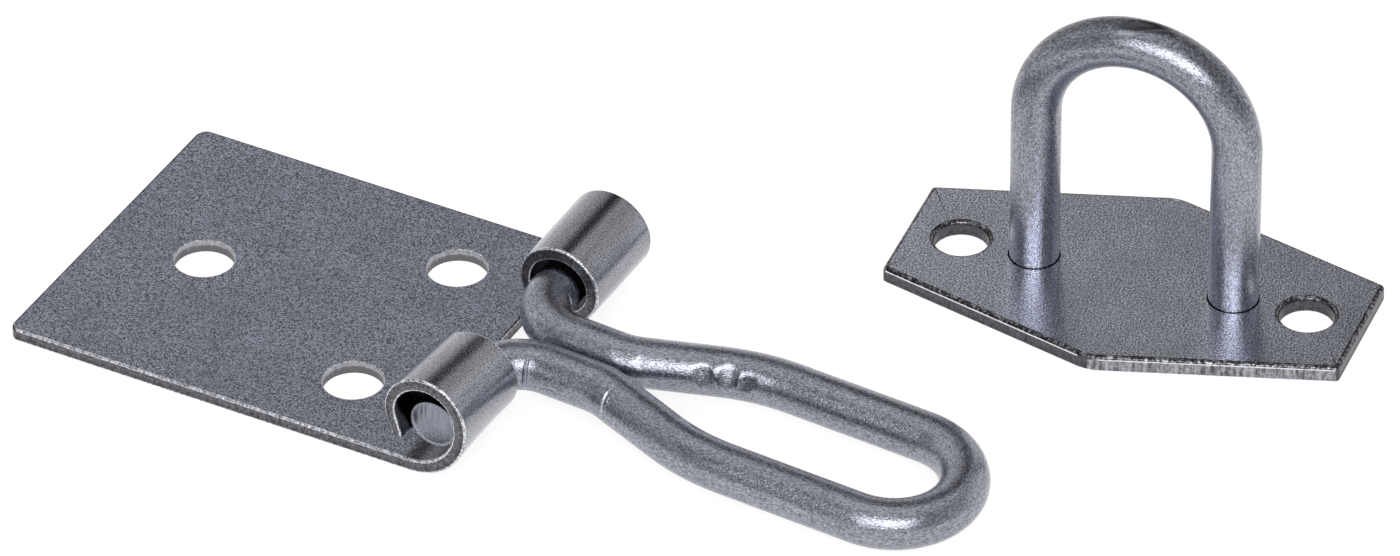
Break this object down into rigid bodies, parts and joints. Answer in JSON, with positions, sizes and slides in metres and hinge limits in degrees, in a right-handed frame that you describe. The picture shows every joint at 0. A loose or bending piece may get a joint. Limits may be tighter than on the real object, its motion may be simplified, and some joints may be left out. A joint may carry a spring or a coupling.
{
  "type": "wire loop hasp and staple",
  "caption": "Wire-loop hasp: a plate whose rolled knuckles carry a swinging bent-wire loop, and a separate plate with a riveted wire staple for a padlock.",
  "frame": {"origin": "on the back face of the hasp plate, at the middle of its screw hole pattern: midway between the single hole and the line of the pair", "axes": "+X runs along the plate towards the wire loop, +Y along the hinge towards the staple half, +Z out of the door, away from the surface that the plates are screwed to"},
  "size_m": [0.1656, 0.1017, 0.0453],
  "materials": {
    "zinc_sheet": "bluish zinc plating over grainy rolled steel sheet",
    "zinc_sheet_bright": "brighter, smoother zinc plating over steel sheet",
    "zinc_wire": "zinc plating over drawn and bent round wire, with light tool marks"
  },
  "bodies": {
    "fixed_plates": {"hasp_plate": "zinc_sheet", "staple_plate": "zinc_sheet_bright", "staple": "zinc_wire"},
    "loop": {"wire_loop": "zinc_wire"}
  },
  "joints": [
    {"name": "loop_hinge", "type": "hinge", "parent": "fixed_plates", "child": "loop", "pos_m": [0.0338, 0, 0.00694], "axis": [0, -1, 0], "range_deg": [-94, 184]}
  ]
}
